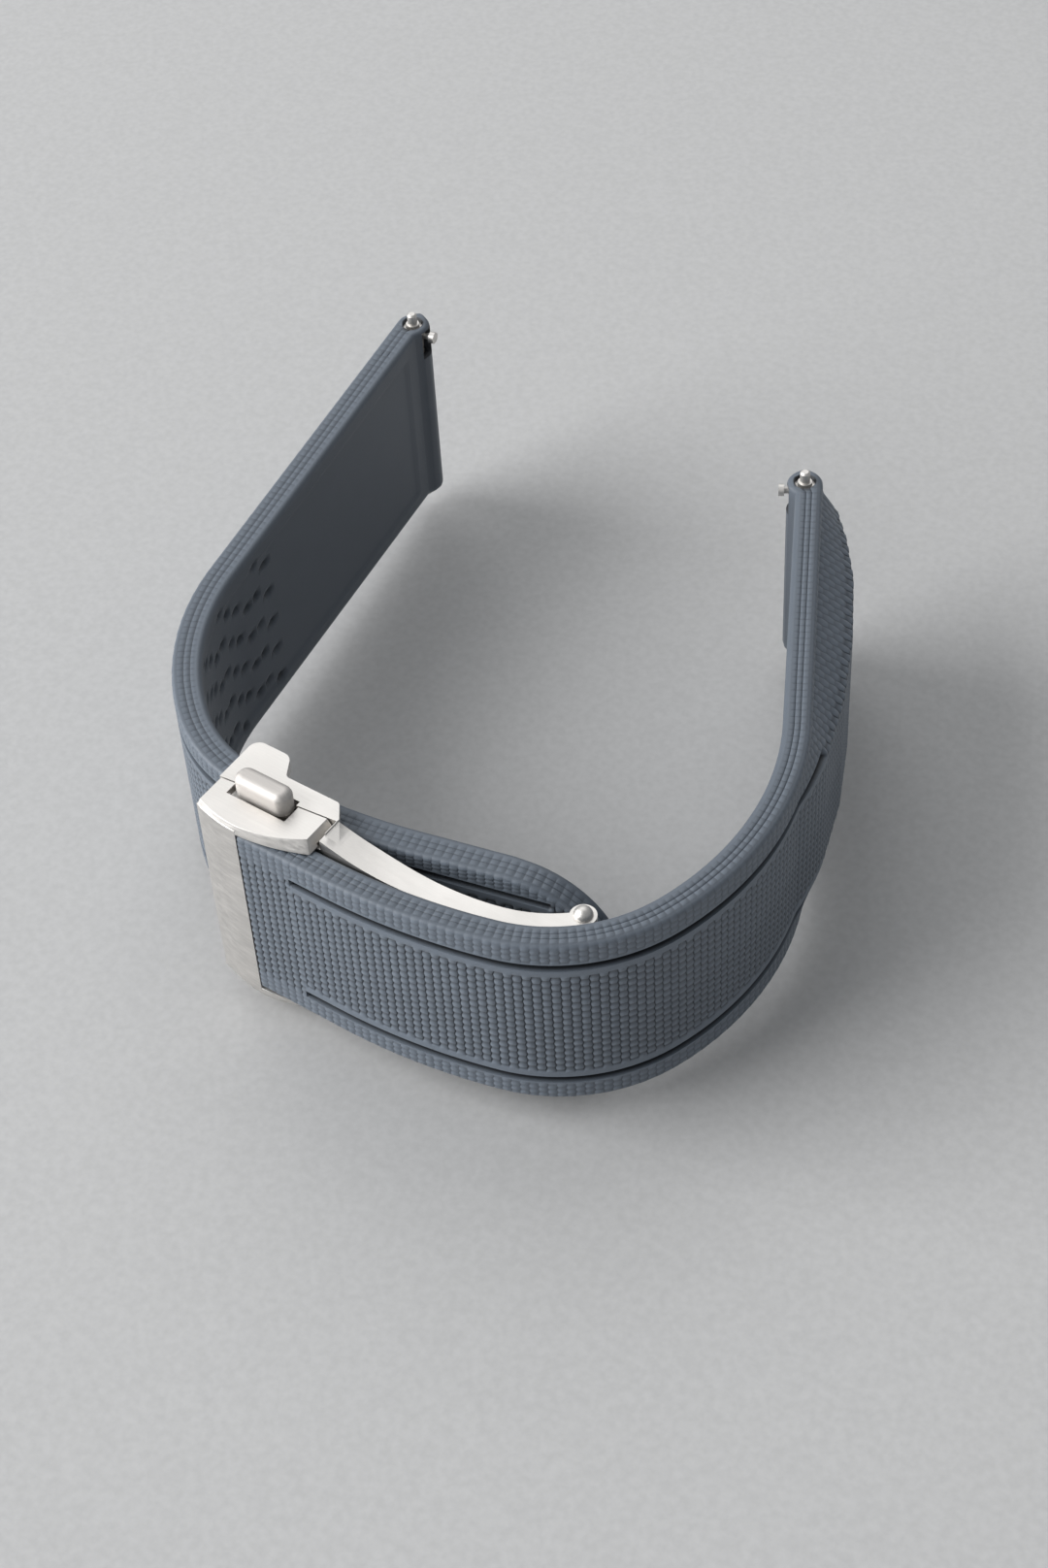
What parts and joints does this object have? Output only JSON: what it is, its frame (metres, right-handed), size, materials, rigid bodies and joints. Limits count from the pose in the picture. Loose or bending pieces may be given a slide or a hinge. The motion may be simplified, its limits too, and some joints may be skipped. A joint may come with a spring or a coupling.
{
  "type": "rubber dive strap",
  "caption": "Two-piece moulded rubber watch strap with a folding steel clasp, side pushers and quick-release lug bars, shown closed.",
  "frame": {"origin": "midway between the two lug bars, at the middle of the strap's width", "axes": "+X to the lug bar of the short half, +Y out to the watch, +Z along the lug bars"},
  "size_m": [0.0637, 0.0616, 0.0248],
  "materials": {
    "strap_rubber": "matt moulded rubber, woven texture outside, smooth inside",
    "satin_steel": "satin brushed stainless steel",
    "pin_steel": "turned stainless steel",
    "spring_steel": "drawn spring wire"
  },
  "bodies": {
    "tail_side": {"tail_strap": "strap_rubber", "clasp_frame": "satin_steel", "blade_pin": "pin_steel", "keeper_bar": "satin_steel", "tail_peg": "pin_steel", "plate_rivets": "pin_steel", "upper_pusher_plate": "pin_steel", "lower_pusher_plate": "pin_steel", "upper_pusher_spring": "spring_steel", "lower_pusher_spring": "spring_steel", "tail_lug_tube": "pin_steel", "tail_fixed_tip": "pin_steel", "tail_bar_spring": "spring_steel"},
    "inner_blade": {"inner_blade": "satin_steel"},
    "cover_side": {"clasp_cover": "satin_steel", "short_strap": "strap_rubber", "strap_bar": "pin_steel", "cover_hinge_pin": "pin_steel", "short_lug_tube": "pin_steel", "short_fixed_tip": "pin_steel", "short_bar_spring": "spring_steel"},
    "upper_pusher": {"upper_pusher": "satin_steel"},
    "lower_pusher": {"lower_pusher": "satin_steel"},
    "short_release": {"short_release_tip": "pin_steel", "short_release_knob": "pin_steel"},
    "tail_release": {"tail_release_tip": "pin_steel", "tail_release_knob": "pin_steel"}
  },
  "joints": [
    {"name": "blade_hinge", "type": "hinge", "parent": "tail_side", "child": "inner_blade", "pos_m": [0.03245, -0.0514, 0], "axis": [0, 0, 1], "range_deg": [0, 130]},
    {"name": "cover_hinge", "type": "hinge", "parent": "inner_blade", "child": "cover_side", "pos_m": [0.0017, -0.0573, 0], "axis": [0, 0, 1], "range_deg": [-130, 0]},
    {"name": "upper_push", "type": "slide", "parent": "tail_side", "child": "upper_pusher", "axis": [0, 0, -1], "range_m": [0, 0.0008], "stiffness_N_per_m": 1000, "springref_m": -0.002, "deforming": ["upper_pusher_spring"]},
    {"name": "lower_push", "type": "slide", "parent": "tail_side", "child": "lower_pusher", "axis": [0, 0, 1], "range_m": [0, 0.0008], "stiffness_N_per_m": 1000, "springref_m": -0.002, "deforming": ["lower_pusher_spring"]},
    {"name": "short_bar_release", "type": "slide", "parent": "cover_side", "child": "short_release", "axis": [0, 0, -1], "range_m": [0, 0.0014], "stiffness_N_per_m": 800, "springref_m": -0.0015, "deforming": ["short_bar_spring"]},
    {"name": "tail_bar_release", "type": "slide", "parent": "tail_side", "child": "tail_release", "axis": [0, 0, -1], "range_m": [0, 0.0014], "stiffness_N_per_m": 800, "springref_m": -0.0015, "deforming": ["tail_bar_spring"]}
  ],
  "couplings": [
    {"joint": "cover_hinge", "follows": "blade_hinge", "ratio": -1}
  ]
}
